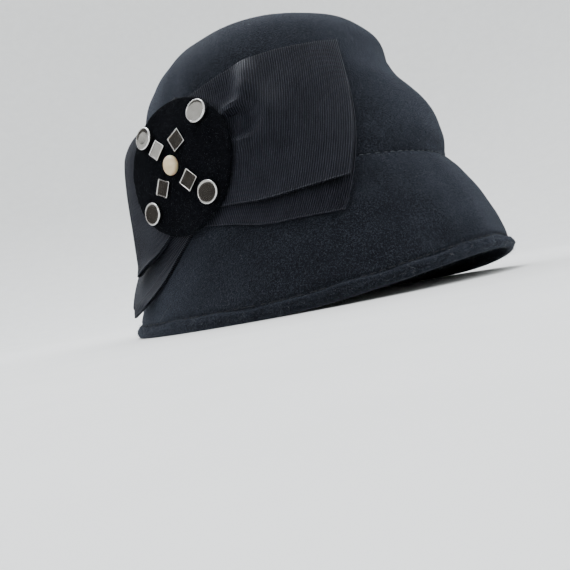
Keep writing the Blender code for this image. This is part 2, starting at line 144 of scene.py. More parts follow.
# crease: share of the crown's height, share of the crease's depth (outward is positive)
DENT = np.array([
    (0.00, 0.00), (0.14, 0.50), (0.30, 0.62), (0.42, 0.10), (0.55, -0.85),
    (0.62, -1.00), (0.72, -0.45), (0.85, 0.00), (1.00, 0.00)])

# brim: share of the way down, then shares of the way out at the front, the sides and the back
BRIM = np.array([
    (0.00, 0.00, 0.00, 0.00),
    (0.10, 0.20, 0.06, 0.08),
    (0.25, 0.42, 0.19, 0.22),
    (0.45, 0.64, 0.39, 0.42),
    (0.70, 0.85, 0.68, 0.70),
    (1.00, 1.00, 1.00, 1.00)])

# rows of the brim's mesh, each with the steps to the next: share of the way down outside
BRIM_ROWS = ((0.012, 4), (0.04, 5), (0.10, 8), (0.2, 8), (0.3, 8), (0.4, 8), (0.5, 8), (0.6, 8),
             (0.7, 7), (0.78, 7))
# height over the edge outside
HEM_ROWS = ((0.0125, 8), (0.0090, 10), (0.0055, 8), (0.0028, 4))
# round the folded edge: way in, height over the edge
EDGE_ROWS = ((0.0001, 0.0012), (0.0007, 0.0003), (0.0019, 0.0), (0.0034, 0.0002),
             (0.0042, 0.0011))
# height over the edge and depth under the outside, up the folded hem and over its edge
FOLD_ROWS = (
    (0.0035, 2 * FELT - 0.0002, 3), (0.0072, 2 * FELT - 0.0002, 2), (0.0083, 2 * FELT - 0.0009, 2),
    (0.0088, FELT + 0.0002, 2), (0.0105, FELT, 2))
# share of the way down inside
INSIDE_ROWS = (0.72, 0.5, 0.3, 0.12)

# ribbon gathered under the patch: share of the loop's length, share of the ribbon's width
GATHER = np.array([(0.0, 0.80), (0.3, 0.90), (0.5, 0.985), (0.8, 1.00), (1.0, 1.00)])

# lifts of each loop over what it lies on, as shares of PUFF, from the patch's rim to the fold:
# share of the way, under the loop at its top and its bottom edge, inside it at top and bottom
LIFTS = {
    "upper_front_loop": (
        (0, 0, 0, 0, 0),
        (0.14, 0.02, 0.02, 0.14, 0.10),
        (0.40, 0.02, 0.10, 0.12, 0.10),
        (0.75, 0.02, 0.18, 0.06, 0.08),
        (1.00, 0.02, 0.46, 0.00, 0.00)),
    "lower_front_loop": (
        (0, 0, 0, 0, 0),
        (0.50, 0.00, 0.02, 0.00, 0.03),
        (1.00, 0.00, 0.04, 0.00, 0.00)),
    "upper_back_loop": (
        (0, 0, 0, 0, 0),
        (0.45, 0.40, 0.14, 0.30, 0.08),
        (0.80, 0.70, 0.28, 0.28, 0.10),
        (1.00, 0.75, 0.38, 0.10, 0.05)),
    "lower_back_loop": (
        (0, 0, 0, 0, 0),
        (0.50, 0.02, 0.02, 0.02, 0.02),
        (0.80, 0.08, 0.16, 0.04, 0.05),
        (1.00, 0.12, 0.62, 0.04, 0.02)),
}

# side: 1 to the front, -1 to the back; length: at the middle of the loop's end, as a share of
# LOOP_LENGTH; as shares of RIBBON_WIDTH: shift of its middle line up, how much longer its top
# edge is than its bottom edge, and bulge of its end; layers: of ribbon under it
Loop = namedtuple("Loop", "side tilt length shift longer bulge layers")
LOOPS = {
    "lower_front_loop": Loop(1, radians(-2), 1.01, -0.05, 0.10, 0.060, 0),
    "lower_back_loop": Loop(-1, radians(-33), 1.02, 0.03, 0.00, 0.000, 0),
    "upper_front_loop": Loop(1, radians(4), 1.00, 0.05, 0.14, 0.043, 2),
    "upper_back_loop": Loop(-1, radians(-19), 0.83, 0.10, 0.00, 0.000, 2),
}

# the gather of the upper front loop beside the patch: places along and across the ribbon,
# spreads along and across, and height of each soft fold
TUCK = np.array([
    (0.0410, 0.0330, 0.0052, 0.0080, 0.0050),
    (0.0392, 0.0240, 0.0052, 0.0055, 0.0050),
    (0.0335, 0.0175, 0.0060, 0.0036, 0.0070),
    (0.0275, 0.0160, 0.0050, 0.0030, 0.0036),
    (0.0320, 0.0088, 0.0096, 0.0056, -0.0105),
    (0.0350, -0.0020, 0.0075, 0.0050, 0.0072),
    (0.0290, -0.0110, 0.0080, 0.0080, 0.0028),
    (0.0465, 0.0090, 0.0090, 0.0120, 0.0058),
    (0.0580, 0.0230, 0.0180, 0.0120, 0.0012)])

TUCK_SOFT = 0.0014  # how softly a fold of the gather meets the layer under it
TUCK_START = 0.022  # along the ribbon, and the way over which it grows
TUCK_EASE = 0.006

# studs, sewn on by hand: angle on the patch from its front edge, share of their ring, own turn,
# lean of the face, up
ROUND_STUDS = ((48, 1.04, 0, 0), (133, 0.99, 0, -1), (226, 0.99, 0, 0), (317, 0.98, 0, 0))
SQUARE_STUDS = ((67, 0.94, 26, -5), (132, 1.07, 50, 5), (226, 0.95, 63, 0), (313, 1.00, 45, 0))

# outlines of the studs from the back to the face: share of the radius, share of the height
ROUND_OUTLINE = (
    (0.00, 0.00), (0.88, 0.00), (0.96, 0.03), (1.00, 0.10), (1.00, 0.64), (0.99, 0.79),
    (0.965, 0.90), (0.93, 0.975), (0.895, 1.00), (0.87, 0.985), (0.85, 0.945), (0.83, 0.925),
    (0.50, 0.935), (0.00, 0.94))
SQUARE_OUTLINE = (
    (0.00, 0.00), (0.94, 0.00), (0.985, 0.06), (1.00, 0.16), (1.00, 0.78), (0.99, 0.92),
    (0.965, 0.99), (0.935, 1.00), (0.90, 0.99), (0.88, 0.93), (0.865, 0.80), (0.85, 0.74),
    (0.40, 0.73), (0.00, 0.73))

# the photograph's camera, raised about the hat's middle until it clears the floor
CAMERA_PLACE = Vector((-0.2896, -0.2328, -0.0267))
CAMERA_AZIMUTH = radians(-48.39)
CAMERA_ELEVATION = radians(-6.56)
CAMERA_ROLL = radians(-11.13)
CAMERA_RAISE = radians(5.7)
CAMERA_FOCUS = 555.2 / 570  # focal length over the picture's width
HAT_MIDDLE = Vector((0.0, 0.0, 0.092))

# the band: where a ribbon pulled over the hat would lie, as a table by turn and height
BAND_TURNS = np.radians(np.arange(-20, 201, 2))
BAND_HEIGHTS = np.linspace(0, SEAM_HEIGHT + 0.78 * CROWN_HEIGHT, 81)
BAND_SHARES = np.linspace(1, 0, 24)
BAND_LEVELS = np.linspace(0.3, 7.5, 40)


def smooth(share):
    """0 to 1 with level ends."""
    share = np.clip(share, 0.0, 1.0)
    return share * share * (3 - 2 * share)


def bump(away):
    """A soft hump: 1 at 0, falling off over a few units."""
    return np.exp(-away * away)


def circle(count):
    """Even angles all round."""
    return np.arange(count) * 2 * pi / count


def spline(table, place):
    """Values of a table at places that count its rows, on a smooth curve."""
    place = np.clip(np.asarray(place, float), 0, len(table) - 1)
    row = np.minimum(place.astype(int), len(table) - 2)
    part = (place - row)[..., None]
    rows = np.vstack((2 * table[:1] - table[1:2], table, 2 * table[-1:] - table[-2:-1]))
    before, here, ahead, after = (rows[row + k] for k in range(4))
    bend = 2 * before - 5 * here + 4 * ahead - after
    twist = 3 * here - before - 3 * ahead + after
    return 0.5 * (2 * here + (ahead - before) * part + bend * part ** 2 + twist * part ** 3)


def curve(table, share):
    """Values of a table at shares in its first column, on a smooth curve."""
    x, y = table[:, 0], table[:, 1:]
    slope = np.gradient(y, x, axis=0)
    share = np.asarray(share, float)
    row = np.clip(np.searchsorted(x, share, side="right") - 1, 0, len(x) - 2)
    span = (x[row + 1] - x[row])[..., None]
    part = np.clip((share[..., None] - x[row][..., None]) / span, 0, 1)
    flat = part * part * (3 - 2 * part)
    rise = part * (1 - part) ** 2 * slope[row] - part ** 2 * (1 - part) * slope[row + 1]
    return y[row] * (1 - flat) + y[row + 1] * flat + span * rise


def stack(x, y, z):
    return np.stack(np.broadcast_arrays(x, y, z), axis=-1)


def unit(vectors):
    return vectors / np.maximum(np.linalg.norm(vectors, axis=-1, keepdims=True), 1e-12)


def seam_height(turn):
    return SEAM_HEIGHT - SEAM_TILT * np.cos(turn)


def crown_surface(turn, level):
    """Outside of the crown; the level counts the rows of CROWN up from the seam."""
    rise, front, side, back = np.moveaxis(spline(CROWN, level), -1, 0)
    ahead = np.where(np.cos(turn) > 0, front * SEAM_FRONT, back * SEAM_BACK)
    x = -side * SEAM_SIDE * np.sin(turn)
    y = -ahead * np.cos(turn)
    out = np.maximum(np.hypot(x, y), 1e-9)
    away = np.abs((turn - DENT_TURN + pi) % (2 * pi) - pi) / DENT_SPREAD
    dent = DENT_DEPTH * smooth(1 - away) * curve(DENT, rise)[..., 0]
    z = seam_height(turn) * (1 - rise) + (SEAM_HEIGHT + CROWN_HEIGHT) * rise
    return stack(x * (out + dent) / out, y * (out + dent) / out - SEAM_SHIFT, z)


def edge_height(turn):
    """Height of the brim's edge over the floor: level at the sides, up at front and back."""
    away = np.abs((turn + pi) % (2 * pi) - pi)
    front = FRONT_LIFT * smooth(1 - away / FRONT_LIFT_TURN)
    return front + BACK_LIFT * smooth(1 - (pi - away) / BACK_LIFT_TURN)


def brim_surface(turn, share):
    """Outside of the brim, from the seam, share 0, down to its edge, share 1."""
    turn, share = np.broadcast_arrays(np.asarray(turn, float), np.asarray(share, float))
    drop, front, side, back = np.moveaxis(spline(BRIM, share * (len(BRIM) - 1)), -1, 0)
    ahead = np.where(np.cos(turn) > 0, front, back)
    top = crown_surface(turn, np.zeros_like(turn))
    reach = np.where(np.cos(turn) > 0, BRIM_FRONT, BRIM_BACK)
    edge = stack(-BRIM_SIDE * np.sin(turn), -reach * np.cos(turn), edge_height(turn))
    return top + (edge - top) * np.stack((side, ahead, drop), axis=-1)


def share_at(turn, rise):
    """The share of the way down the brim where it is this far over its edge."""
    shares = np.linspace(0, 1, 121)
    drops = spline(BRIM, shares * (len(BRIM) - 1))[:, 0]
    return np.interp(1 - rise / (seam_height(turn) - edge_height(turn)), drops, shares)


def outward(surface, turn, place):
    """Directions square to a surface of the hat, pointing out of it."""
    step = 0.01
    turn, place = np.broadcast_arrays(np.asarray(turn, float), np.asarray(place, float))
    across = surface(turn + step, place) - surface(turn - step, place)
    along = surface(turn, place + step) - surface(turn, place - step)
    normal = unit(np.cross(across, along))
    point = surface(turn, place)
    guide = stack(point[..., 0], point[..., 1], CROWN_HEIGHT / 5)
    side = np.sign(np.sum(normal * guide, axis=-1, keepdims=True))
    return normal * np.where(side == 0, 1, side)


def waves(points, length, seed, count=14):
    """Soft unevenness at points in space, about -1 to 1, with waves near one length."""
    draw = np.random.default_rng(seed)
    total = np.zeros(points.shape[:-1])
    for _ in range(count):
        way = draw.normal(size=3)
        way *= 2 * pi / (length * draw.uniform(0.6, 1.6)) / np.linalg.norm(way)
        total += np.sin(points @ way + draw.uniform(0, 2 * pi))
    return total / sqrt(count)


def taut_reaches():
    """Distance from the hat's axis to a band pulled over it, by turn and by height."""
    foot = SEAM_HEIGHT - BRIDGE_DROP
    rows = []
    for turn in BAND_TURNS:
        points = np.vstack((brim_surface(turn, BAND_SHARES), crown_surface(turn, BAND_LEVELS)))
        spots = sorted(zip(points[:, 2], np.hypot(points[:, 0], points[:, 1])))
        band = []
        for point in spots:
            while len(band) > 1 and band[-2][0] > foot and sags(band[-2], band[-1], point):
                band.pop()
            band.append(point)
        heights, reaches = np.array(band).T
        rows.append(np.interp(BAND_HEIGHTS, heights, reaches))
    return np.array(rows)


def sags(first, middle, last):
    """Whether the middle point lies inside the straight line between the others."""
    return ((middle[0] - first[0]) * (last[1] - first[1])
            >= (last[0] - first[0]) * (middle[1] - first[1]))


BAND_REACHES = taut_reaches()


def band_reach(turn, height):
    """The distance in that table, at any turn and height within it."""
    across = np.interp(turn, BAND_TURNS, np.arange(len(BAND_TURNS)))
    first = np.minimum(across.astype(int), len(BAND_TURNS) - 2)
    up = np.interp(height, BAND_HEIGHTS, np.arange(len(BAND_HEIGHTS)))
    low = np.minimum(up.astype(int), len(BAND_HEIGHTS) - 2)
    a, b = across - first, up - low
    return ((BAND_REACHES[first, low] * (1 - a) + BAND_REACHES[first + 1, low] * a) * (1 - b)
            + (BAND_REACHES[first, low + 1] * (1 - a) + BAND_REACHES[first + 1, low + 1] * a) * b)


def on_bow(loop, along, across, lift):
    """Points of the bow: along from its middle, across up, both measured on the ribbon."""
    height = SEAM_HEIGHT + BOW_RISE + along * sin(loop.tilt) + across * cos(loop.tilt)
    arc = along * cos(loop.tilt) - across * sin(loop.tilt)
    span = np.full_like(height, BOW_TURN - loop.side * BOW_SPAN)
    turn = BOW_TURN - loop.side * arc / band_reach(span, height)
    way = crown_surface(turn, np.zeros_like(turn))[..., :2]
    reach = (band_reach(turn, height) + lift)[..., None]
    return np.concatenate((unit(way) * reach, height[..., None]), axis=-1)


def add_object(name, data):
    body = bpy.data.objects.new(name, data)
    bpy.context.scene.collection.objects.link(body)
    return body


def add_mesh(name, verts, faces, paint):
    """A new smooth mesh object in the scene."""
    mesh = bpy.data.meshes.new(name)
    mesh.from_pydata(np.asarray(verts, float).reshape(-1, 3).tolist(), [], faces)
    mesh.shade_smooth()
    mesh.materials.append(paint)
    return add_object(name, mesh)


def mesh_piece(name, verts, faces, paint, sharp=None, uv=None):
    """A mesh that rides on the hat; uv holds a place on the cloth for each vertex, in metres."""
    piece = add_mesh(name, verts, faces, paint)
    mesh = piece.data
    if sharp is not None:
        mesh.set_sharp_from_angle(angle=sharp)
    if uv is not None:
        corners = np.zeros(len(mesh.loops), np.int32)
        mesh.loops.foreach_get("vertex_index", corners)
        layer = mesh.uv_layers.new(name="cloth")
        layer.data.foreach_set("uv", np.asarray(uv, np.float32)[corners].ravel())
    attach(piece, "root")
    return piece


def grid_faces(rows, columns, wrap_rows=False, wrap_columns=False, start=0):
    """Quads of a grid of vertices numbered row by row."""
    i = np.arange(rows if wrap_rows else rows - 1)[:, None]
    j = np.arange(columns if wrap_columns else columns - 1)[None, :]
    i, j = np.broadcast_arrays(i, j)
    ahead_i, ahead_j = (i + 1) % rows, (j + 1) % columns
    quads = np.stack((i * columns + j, i * columns + ahead_j,
                      ahead_i * columns + ahead_j, ahead_i * columns + j), axis=-1)
    return (quads.reshape(-1, 4) + start).tolist()


def path_rows(points, counts):
    """More rows between some points' rows, on a smooth curve; counts holds steps per gap."""
    places = [row + step / count for row, count in enumerate(counts) for step in range(count)]
    flat = points.reshape(len(points), -1)
    places = np.array(places + [len(points) - 1.0])
    return spline(flat, places).reshape(len(places), *points.shape[1:])


def make_crown(paint):
    """The crown: pressed felt, its lower edge turned in at the seam."""
    around = CROWN_AROUND
    turns = -circle(around)
    top = len(CROWN) - 1
    near = np.array([0, 0.02, 0.045, 0.075, 0.11])
    levels = np.concatenate((near, np.linspace(0.16, top, 120)[:-1]))[:, None]
    outer = crown_surface(turns, levels)
    normal = outward(crown_surface, turns, levels)
    rise = levels * CROWN[1, 0] * CROWN_HEIGHT
    turned = 1 - np.clip(rise / SEAM_ROUNDING, 0, 1)
    away = FELT_WAVE * waves(outer, FELT_WAVE_LENGTH, 3) * smooth(rise / STITCH_PITCH)
    away -= SEAM_ROUNDING * (1 - np.sqrt(1 - turned ** 2))
    pucker = 0.5 + 0.5 * np.cos(turns * CROWN_PUCKERS)
    away += PUCKER * bump((rise - 0.0022) / PUCKER_SPREAD) * pucker
    outer = outer + normal * away[..., None]
    deep = np.linspace(0, top, 36)[:-1, None]
    inner = crown_surface(turns, deep) - outward(crown_surface, turns, deep) * FELT
    inner[0, :, 2] = seam_height(turns)
    apex = crown_surface(np.zeros(1), np.full(1, float(top)))[0]
    rings = np.concatenate((inner[::-1], outer))
    count = len(rings)
    verts = np.vstack((rings.reshape(-1, 3), apex - (0, 0, FELT), apex))
    faces = grid_faces(count, around, wrap_columns=True)
    under, over = count * around, count * around + 1
    last = (count - 1) * around
    faces += [(under, (i + 1) % around, i) for i in range(around)]
    faces += [(over, last + i, last + (i + 1) % around) for i in range(around)]
    crown = mesh_piece("crown_felt", verts, faces, paint)
    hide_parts("crown")
    return crown


def hem_lift(rise, turns):
    """How far the felt stands out near the brim's edge: a soft roll under puckered stitches."""
    pucker = 0.5 + 0.5 * np.cos(turns * HEM_STITCHES)
    line = HEM_LINE + 0.0005 * np.sin(turns * 9) + 0.0004 * np.sin(turns * 23 + 1)
    share = np.clip(rise / (line - 0.0008), 0, 1)
    roll = (1 - (2 * share - 1) ** 2) ** 0.6
    spot = stack(turns * 0.12, rise, 0.0)
    tufts = 1 + 0.20 * waves(spot, 0.009, 8) + 0.16 * waves(spot, 0.0035, 9) - 0.12 * pucker
    groove = bump((rise - line) / 0.0011)
    return HEM_SWELL * tufts * roll - HEM_GROOVE * (0.45 + 0.55 * pucker) * groove


def make_brim(paint):
    """The brim: pressed felt, a collar inside the crown and its edge folded up as a hem."""
    around = BRIM_AROUND
    turns = -circle(around)
    seam = crown_surface(turns, np.zeros(around))
    edge = brim_surface(turns, np.ones(around))
    inner_seam = seam - outward(crown_surface, turns, np.zeros(around)) * (FELT + SEAM_GAP)
    inner_seam[:, 2] = seam[:, 2]
    way = unit((inner_seam - seam) * (1, 1, 0))
    up = np.array((0, 0, 1.0))
    collar_level = np.full(around, COLLAR_HEIGHT / (CROWN[1, 0] * CROWN_HEIGHT))
    collar = crown_surface(turns, collar_level)
    collar -= outward(crown_surface, turns, collar_level) * (FELT + SEAM_GAP)

    def on_brim(share, depth):
        share = np.broadcast_to(share, (around,))
        out = outward(brim_surface, turns, np.maximum(share, 0.02))
        return brim_surface(turns, share) - out * depth

    # lines round the brim, each with the steps to the next
    lines = [(collar, 2), (inner_seam - up * SEAM_GAP, 2),
             (seam + way * 0.0010 - up * SEAM_GAP, 3)]
    first = len(lines) - 1
    lines += [(on_brim(share, 0), count) for share, count in BRIM_ROWS]
    lines += [(on_brim(share_at(turns, rise), 0), count) for rise, count in HEM_ROWS]
    last = len(lines) - 1
    lines += [(edge + way * inward + up * rise, 2) for inward, rise in EDGE_ROWS]
    lines += [(on_brim(share_at(turns, rise), depth), count) for rise, depth, count in FOLD_ROWS]
    lines += [(on_brim(share, FELT), 3) for share in INSIDE_ROWS]
    lines += [(inner_seam + way * FELT, 2), (collar + way * FELT, 1)]
    table, counts = zip(*lines)
    outside = np.zeros((len(lines), around, 1))
    outside[first:last + 1] = 1
    rows = path_rows(np.concatenate((table, outside), axis=2), counts[:-1])
    points, shown = rows[..., :3], np.clip(rows[..., 3], 0, 1)
    down = np.gradient(points, axis=0)
    across = np.roll(points, -1, axis=1) - np.roll(points, 1, axis=1)
    normal = unit(np.cross(down, across))
    rise = points[..., 2] - edge[:, 2]
    away = hem_lift(rise, turns) * shown
    drop = seam[:, 2] - points[..., 2]
    pucker = 0.5 + 0.5 * np.cos(turns * SEAM_STITCHES)
    away += shown * PUCKER * bump((drop - 0.0024) / PUCKER_SPREAD) * pucker
    plain = shown * smooth(drop / 0.006) * smooth((rise - 0.008) / 0.006)
    away += plain * FELT_WAVE * waves(points, FELT_WAVE_LENGTH, 5)
    points = points + normal * away[..., None]
    faces = grid_faces(len(points), around, wrap_rows=True, wrap_columns=True)
    brim = mesh_piece("brim_felt", points, [face[::-1] for face in faces], paint)
    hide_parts("brim")
    return brim


def tuck(along, across):
    """The gather of the upper front loop, over its plain lifts."""
    total = np.zeros_like(along)
    for place, side, long, wide, height in TUCK:
        total += height * bump((along - place) / long) * bump((across - side) / wide)
    return total


def room_under_patch(points):
    """Free height between points of the bow and the patch's back; more outside the patch."""
    local = placed(points, PATCH_FRAME.inverted())
    ring = np.hypot(local[..., 0], local[..., 1])
    room = -local[..., 2] - ring ** 2 / 2 / PATCH_DOME - 0.0006
    return room + PUFF * smooth((ring - PATCH_RADIUS - 0.0008) / 0.003)


def make_loop(name, paint):
    """One loop of the bow: ribbed ribbon out along the hat and folded back over itself."""
    loop = LOOPS[name]
    up = np.linspace(0, 1, LOOP_COLUMNS)
    longer = loop.longer * (up - 0.5) + loop.bulge * 4 * up * (1 - up)
    run = loop.length * LOOP_LENGTH + longer * RIBBON_WIDTH
    start = RIBBON_WIDTH * (loop.shift + (up - 0.5) * GATHER[0, 1])
    begin = (BOW_SPLIT + start * sin(loop.tilt)) / cos(loop.tilt)
    share = np.linspace(0, 1, 10)[:-1, None]
    free_count = int(RIB_STEPS * (LOOP_LENGTH * loop.length - LOOP_HELD) / RIB_PITCH)
    free_share = np.linspace(0, 1, free_count)[:, None]
    along = np.vstack((begin + share * (LOOP_HELD - begin),
                       LOOP_HELD + free_share * (run - LOOP_HELD)))
    gather = curve(GATHER, (along - begin) / (run - begin))[..., 0]
    across = RIBBON_WIDTH * (loop.shift + (up - 0.5) * gather)
    rim = np.sqrt(np.maximum(PATCH_RADIUS ** 2 - (across * 0.95) ** 2, (0.4 * PATCH_RADIUS) ** 2))
    free = np.clip((along - rim) / (run - rim), 0, 1)
    lifts = PUFF * curve(np.array(LIFTS[name]), free) * smooth(free / 0.08)[..., None]
    under = lifts[..., 1] + (lifts[..., 0] - lifts[..., 1]) * smooth(up)
    gap = RIBBON_GAP + (FOLD_GAP - RIBBON_GAP) * smooth(free)
    gap = gap + lifts[..., 3] + (lifts[..., 2] - lifts[..., 3]) * smooth(up)
    if name == "upper_front_loop":
        over = gap + tuck(along, across) * smooth((along - TUCK_START) / TUCK_EASE) - RIBBON_GAP
        gap = RIBBON_GAP + (over + np.sqrt(over ** 2 + TUCK_SOFT ** 2)) / 2
    base = SEAM_GAP + loop.layers * (RIBBON + RIBBON_GAP) + np.maximum(under, 0)
    room = room_under_patch(on_bow(loop, along, across, base + 2 * RIBBON))
    gap = np.maximum(np.minimum(gap, room), RIBBON_GAP)
    edge_room = np.minimum(up, 1 - up) * RIBBON_WIDTH
    ribbed = smooth((edge_room - SELVEDGE * 0.4) / (SELVEDGE * 0.8))

    def ribs(from_fold):
        wave = 0.5 - 0.5 * np.cos(2 * pi * from_fold / RIB_PITCH)
        return RIB_HEIGHT * (np.sqrt(wave + 0.02) - 0.6) * ribbed

    middle, wide = base[-1] + RIBBON + gap[-1] / 2, gap[-1] / 2 + RIBBON
    angles = np.linspace(-pi / 2, pi / 2, FOLD_STEPS + 1)[1:-1, None]
    in_fold = (angles + pi / 2) * wide

    def fold(reach):
        return on_bow(loop, along[-1] + reach * np.cos(angles), across[-1],
                      middle + reach * np.sin(angles))

    before_fold, after_fold = along - run, pi * wide + run - along
    few = np.append(np.arange(0, len(along) - 1, RIB_STEPS), len(along) - 1)
    inner_back = on_bow(loop, along, across, base + RIBBON)[few]
    outer_back = on_bow(loop, along, across, base)[few]
    inner_top = on_bow(loop, along, across, base + RIBBON + gap)
    outer_top = on_bow(loop, along, across, base + 2 * RIBBON + gap + ribs(after_fold))
    outer_fold = fold(wide + ribs(in_fold) * (0.5 + 0.5 * np.sin(angles)))
    outer = np.concatenate((outer_back, outer_fold, outer_top[::-1]))
    inner = np.concatenate((inner_back, fold(gap[-1] / 2), inner_top[::-1]))
    cloth = np.concatenate((before_fold[few], in_fold, after_fold[::-1]))
    uv = np.stack(np.broadcast_arrays(cloth, (up - 0.5) * RIBBON_WIDTH), axis=-1)
    piece = thick_sheet(name.replace("loop", "ribbon"), outer, inner, paint, loop.side < 0, uv)
    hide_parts(name)
    length = 2 * (LOOP_LENGTH * loop.length - BOW_SPLIT) + pi * float(np.median(wide))


def thick_sheet(name, outer, inner, paint, flip, uv):
    """A closed body between two grids of points of the same size."""
    rows, columns = outer.shape[:2]
    count = rows * columns
    verts = np.vstack((outer.reshape(-1, 3), inner.reshape(-1, 3)))
    faces = grid_faces(rows, columns)
    faces += [face[::-1] for face in grid_faces(rows, columns, start=count)]
    grid = np.arange(count).reshape(rows, columns)
    sides = (grid[:, 0], grid[-1, 1:], grid[-2::-1, -1], grid[0, -2:0:-1])
    ring = np.concatenate(sides).tolist()
    for here, ahead in zip(ring, ring[1:] + ring[:1]):
        faces.append((here, ahead, ahead + count, here + count))
    if flip:
        faces = [face[::-1] for face in faces]
    places = np.concatenate((uv.reshape(-1, 2), uv.reshape(-1, 2)))
    return mesh_piece(name, verts, faces, paint, radians(50), places)


def patch_frame():
    """Where the frame's patch sits: X to the hat's front, Y up, Z out of its right side."""
    face = Matrix(((0, 0, -1), (-1, 0, 0), (0, 1, 0))).to_4x4()
    turned = Matrix.Rotation(PATCH_TURN, 4, "Z") @ face @ Matrix.Rotation(PATCH_LEAN, 4, "X")
    node = np.array([vertex.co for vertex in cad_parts["patch"].data.vertices])
    local = node @ np.array(turned.to_3x3())
    low, high = local.min(axis=0), local.max(axis=0)
    middle = Vector(((low[0] + high[0]) / 2, (low[1] + high[1]) / 2, high[2] - PATCH))
    return Matrix.Translation(turned @ middle) @ turned


def placed(points, matrix):
    points = np.asarray(points, float)
    return points @ np.array(matrix.to_3x3()).T + np.array(matrix.translation)


def seat(angle, ring, twist, lean=0):
    """Place on the patch's front face, square to its dome but for a lean; angles in degrees."""
    turn = radians(angle)
    rise = PATCH + STUD_GAP - ring ** 2 / 2 / PATCH_DOME + SQUARE_SIDE / 2 * sin(radians(abs(lean)))
    spot = Matrix.Translation((ring * cos(turn), ring * sin(turn), rise))
    tilt = Matrix.Rotation(ring / PATCH_DOME, 4, Vector((-sin(turn), cos(turn), 0)))
    leaning = Matrix.Rotation(-radians(lean), 4, "X") @ tilt
    return PATCH_FRAME @ spot @ leaning @ Matrix.Rotation(radians(twist), 4, "Z")


def capped_rings(rings):
    """Vertices and faces of a closed body of rings whose first and last are single points."""
    count = len(rings[1])
    verts = np.vstack((rings[0][:1], *rings[1:-1], rings[-1][:1]))
    last = len(verts) - 1
    faces = grid_faces(len(rings) - 2, count, wrap_columns=True, start=1)
    faces += [(0, 1 + (i + 1) % count, 1 + i) for i in range(count)]
    end = last - count
    faces += [(last, end + i, end + (i + 1) % count) for i in range(count)]
    return verts, faces


def make_patch(paint):
    """The patch: thick felt with a soft cut edge, a little uneven."""
    angles = circle(220)
    rounding = PATCH / 2
    reach = PATCH_RADIUS + 0.00025 * (np.sin(angles * 3 + 1) + 0.6 * np.sin(angles * 7))
    outline = [(share, 0.0, 0.0) for share in np.linspace(0, 1, 14)[:-1]]
    outline += [(1.0, rounding * (1 - cos(bend)), rounding * sin(bend))
                for bend in np.linspace(0, pi, 9)]
    outline += [(share, PATCH, 0.0) for share in np.linspace(1, 0, 40)[1:]]
    rings = []
    for share, height, beyond in outline:
        ring = share * (reach - rounding) + beyond
        flat = stack(ring * np.cos(angles), ring * np.sin(angles), 0.0)
        rise = height - ring ** 2 / 2 / PATCH_DOME
        if height > rounding:
            rise = rise + 0.00018 * waves(flat, 0.012, 11) + 0.00005 * waves(flat, 0.0022, 12)
        rings.append(stack(flat[..., 0], flat[..., 1], rise))
    verts, faces = capped_rings(rings)
    patch = mesh_piece("patch_disc", placed(verts, PATCH_FRAME), faces, paint)
    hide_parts("patch")
    return patch


def round_ring(wide):
    angles = circle(72)
    return STUD_RADIUS * wide * np.stack((np.cos(angles), np.sin(angles)), axis=-1)


def square_ring(wide):
    """A square with small round corners."""
    half = SQUARE_SIDE / 2 * wide
    corner = min(SQUARE_CORNER, half / 3)

    def arc(middle):
        at = (half - corner) * sqrt(2) * np.array((cos(middle), sin(middle)))
        bends = middle + np.linspace(-pi / 4, pi / 4, 6)
        return at + corner * np.stack((np.cos(bends), np.sin(bends)), axis=-1)

    points = []
    for quarter in range(4):
        middle = pi / 4 + quarter * pi / 2
        points += list(arc(middle))
        here, there = points[-1], arc(middle + pi / 2)[0]
        points += [here + (there - here) * share for share in (0.25, 0.5, 0.75)]
    return np.array(points)


def make_stud(name, node, outline, ring, height, place, paint):
    """A stud turned from an outline; its face is pressed a little hollow."""
    rings = []
    for wide, high in outline:
        flat = ring(wide) if wide else np.zeros((1, 2))
        rings.append(np.column_stack((flat, np.full(len(flat), high * height))))
    verts, faces = capped_rings(rings)
    # shares of radius and height, kept as the place on the cloth, mark where the metal paints a
    # highlight on the rim
    wide = np.concatenate([np.full(len(points), row[0]) for points, row in zip(rings, outline)])
    uv = np.column_stack((wide, verts[:, 2] / height))
    stud = mesh_piece(name, placed(verts, place), faces, paint, radians(40), uv)
    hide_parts(node)


def make_pearl(paint):
    """A pearl with a flat back where it is sewn down."""
    angles = circle(64)
    rings = [np.array([(0.0, 0.0, 0.0)])]
    for rise in np.linspace(-PEARL_CUT, pi / 2, 30):
        wide = PEARL_RADIUS * cos(rise) * (1 + 0.012 * np.sin(2 * angles + 0.7))
        high = PEARL_RISE * (sin(rise) + sin(PEARL_CUT))
        rings.append(stack(PEARL_OVAL * wide * np.cos(angles), wide * np.sin(angles), high))
    verts, faces = capped_rings(rings)
    pearl = mesh_piece("pearl_bead", placed(verts, seat(0, 0, 0)), faces, paint)
    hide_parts("pearl")


def strand(line, out, radius):
    """A closed thin tube along a line of points, narrower at its ends."""
    angles = circle(6)[:, None]
    way = unit(np.gradient(line, axis=0))
    across = unit(np.cross(way, out))
    up = np.cross(across, way)
    rings = [line[:1]]
    for step in range(len(line)):
        wide = radius * (0.7 if step in (0, len(line) - 1) else 1.0)
        side = np.cos(angles) * across[step] + np.sin(angles) * up[step]
        rings.append(line[step] + wide * side)
    rings.append(line[-1:])
    return capped_rings(rings)


def make_strands(name, strands, paint):
    """Strands joined in one mesh."""
    verts, faces, base = [], [], 0
    for body, sheet in strands:
        faces += [tuple(corner + base for corner in face) for face in sheet]
        verts.append(body)
        base += len(body)
    mesh_piece(name, np.vstack(verts), faces, paint)


